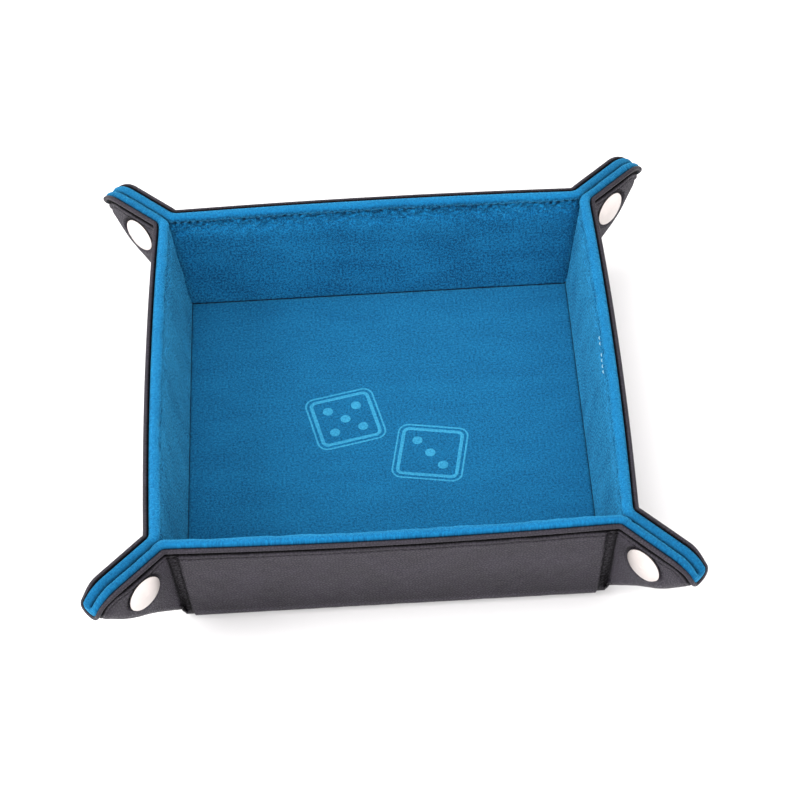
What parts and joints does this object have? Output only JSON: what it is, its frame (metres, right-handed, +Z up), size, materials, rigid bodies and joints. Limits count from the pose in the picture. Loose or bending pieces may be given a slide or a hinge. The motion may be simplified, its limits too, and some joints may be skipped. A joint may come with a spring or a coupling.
{
  "type": "folding dice tray",
  "caption": "Square leather and velvet tray that lies flat or stands, its pinched corners held by press studs.",
  "frame": {"origin": "middle of the floor's underside, on the surface the tray rests on", "axes": "+Z up, -Y towards the front wall, +X towards the right wall"},
  "size_m": [0.2328, 0.2328, 0.0516],
  "materials": {
    "leather": "fine pebble grain, low sheen",
    "velvet": "short nap",
    "board": "raw grey board",
    "foam": "soft foam sheet",
    "cap": "satin nickel",
    "snap": "nickel-plated pressed sheet"
  },
  "bodies": {
    "base": {"base_cover": "leather", "base_board": "board", "base_foam": "foam", "base_lining": "velvet", "crease_cover_back": "leather", "crease_cover_left": "leather", "crease_cover_front": "leather", "crease_cover_right": "leather"},
    "wall_back": {"wall_cover_back": "leather", "wall_board_back": "board", "wall_foam_back": "foam", "wall_lining_back": "velvet"},
    "wall_left": {"wall_cover_left": "leather", "wall_board_left": "board", "wall_foam_left": "foam", "wall_lining_left": "velvet"},
    "wall_front": {"wall_cover_front": "leather", "wall_board_front": "board", "wall_foam_front": "foam", "wall_lining_front": "velvet"},
    "wall_right": {"wall_cover_right": "leather", "wall_board_right": "board", "wall_foam_right": "foam", "wall_lining_right": "velvet"},
    "ear_back_right_back": {"ear_cover_back_right_back": "leather", "ear_lining_back_right_back": "velvet", "snap_cap_back_right_back": "cap", "snap_socket_back_right": "snap", "snap_spring_back_right": "snap"},
    "ear_back_left_back": {"ear_cover_back_left_back": "leather", "ear_lining_back_left_back": "velvet", "snap_cap_back_left_back": "cap", "snap_stud_back_left": "snap"},
    "ear_back_left_left": {"ear_cover_back_left_left": "leather", "ear_lining_back_left_left": "velvet", "snap_cap_back_left_left": "cap", "snap_socket_back_left": "snap", "snap_spring_back_left": "snap"},
    "ear_front_left_left": {"ear_cover_front_left_left": "leather", "ear_lining_front_left_left": "velvet", "snap_cap_front_left_left": "cap", "snap_stud_front_left": "snap"},
    "ear_front_left_front": {"ear_cover_front_left_front": "leather", "ear_lining_front_left_front": "velvet", "snap_cap_front_left_front": "cap", "snap_socket_front_left": "snap", "snap_spring_front_left": "snap"},
    "ear_front_right_front": {"ear_cover_front_right_front": "leather", "ear_lining_front_right_front": "velvet", "snap_cap_front_right_front": "cap", "snap_stud_front_right": "snap"},
    "ear_front_right_right": {"ear_cover_front_right_right": "leather", "ear_lining_front_right_right": "velvet", "snap_cap_front_right_right": "cap", "snap_socket_front_right": "snap", "snap_spring_front_right": "snap"},
    "ear_back_right_right": {"ear_cover_back_right_right": "leather", "ear_lining_back_right_right": "velvet", "snap_cap_back_right_right": "cap", "snap_stud_back_right": "snap"}
  },
  "joints": [
    {"name": "fold_back", "type": "hinge", "parent": "base", "child": "wall_back", "pos_m": [0, 0.081, 0.006], "axis": [-1, 0, 0], "range_deg": [0, 82.5], "deforming": ["crease_cover_back"]},
    {"name": "fold_left", "type": "hinge", "parent": "base", "child": "wall_left", "pos_m": [-0.081, 0, 0.006], "axis": [0, -1, 0], "range_deg": [0, 82.5], "deforming": ["crease_cover_left"]},
    {"name": "fold_front", "type": "hinge", "parent": "base", "child": "wall_front", "pos_m": [0, -0.081, 0.006], "axis": [1, 0, 0], "range_deg": [0, 82.5], "deforming": ["crease_cover_front"]},
    {"name": "fold_right", "type": "hinge", "parent": "base", "child": "wall_right", "pos_m": [0.081, 0, 0.006], "axis": [0, 1, 0], "range_deg": [0, 82.5], "deforming": ["crease_cover_right"]},
    {"name": "ear_fold_back_right_back", "type": "hinge", "parent": "wall_back", "child": "ear_back_right_back", "pos_m": [0.081, 0.081, 0.006], "axis": [-0.1294, -0.1294, -0.9831], "range_deg": [0, 45.49]},
    {"name": "ear_fold_back_left_back", "type": "hinge", "parent": "wall_back", "child": "ear_back_left_back", "pos_m": [-0.081, 0.081, 0.006], "axis": [-0.1294, 0.1294, 0.9831], "range_deg": [0, 45.49]},
    {"name": "ear_fold_back_left_left", "type": "hinge", "parent": "wall_left", "child": "ear_back_left_left", "pos_m": [-0.081, 0.081, 0.006], "axis": [0.1294, -0.1294, -0.9831], "range_deg": [0, 45.49]},
    {"name": "ear_fold_front_left_left", "type": "hinge", "parent": "wall_left", "child": "ear_front_left_left", "pos_m": [-0.081, -0.081, 0.006], "axis": [-0.1294, -0.1294, 0.9831], "range_deg": [0, 45.49]},
    {"name": "ear_fold_front_left_front", "type": "hinge", "parent": "wall_front", "child": "ear_front_left_front", "pos_m": [-0.081, -0.081, 0.006], "axis": [0.1294, 0.1294, -0.9831], "range_deg": [0, 45.49]},
    {"name": "ear_fold_front_right_front", "type": "hinge", "parent": "wall_front", "child": "ear_front_right_front", "pos_m": [0.081, -0.081, 0.006], "axis": [0.1294, -0.1294, 0.9831], "range_deg": [0, 45.49]},
    {"name": "ear_fold_front_right_right", "type": "hinge", "parent": "wall_right", "child": "ear_front_right_right", "pos_m": [0.081, -0.081, 0.006], "axis": [-0.1294, 0.1294, -0.9831], "range_deg": [0, 45.49]},
    {"name": "ear_fold_back_right_right", "type": "hinge", "parent": "wall_right", "child": "ear_back_right_right", "pos_m": [0.081, 0.081, 0.006], "axis": [0.1294, 0.1294, 0.9831], "range_deg": [0, 45.49]}
  ],
  "couplings": [
    {"joint": "fold_left", "follows": "fold_back", "ratio": 1},
    {"joint": "fold_front", "follows": "fold_back", "ratio": 1},
    {"joint": "fold_right", "follows": "fold_back", "ratio": 1},
    {"joint": "ear_fold_back_right_back", "follows": "fold_back", "ratio": 0.55137},
    {"joint": "ear_fold_back_left_back", "follows": "fold_back", "ratio": 0.55137},
    {"joint": "ear_fold_back_left_left", "follows": "fold_back", "ratio": 0.55137},
    {"joint": "ear_fold_front_left_left", "follows": "fold_back", "ratio": 0.55137},
    {"joint": "ear_fold_front_left_front", "follows": "fold_back", "ratio": 0.55137},
    {"joint": "ear_fold_front_right_front", "follows": "fold_back", "ratio": 0.55137},
    {"joint": "ear_fold_front_right_right", "follows": "fold_back", "ratio": 0.55137},
    {"joint": "ear_fold_back_right_right", "follows": "fold_back", "ratio": 0.55137}
  ]
}
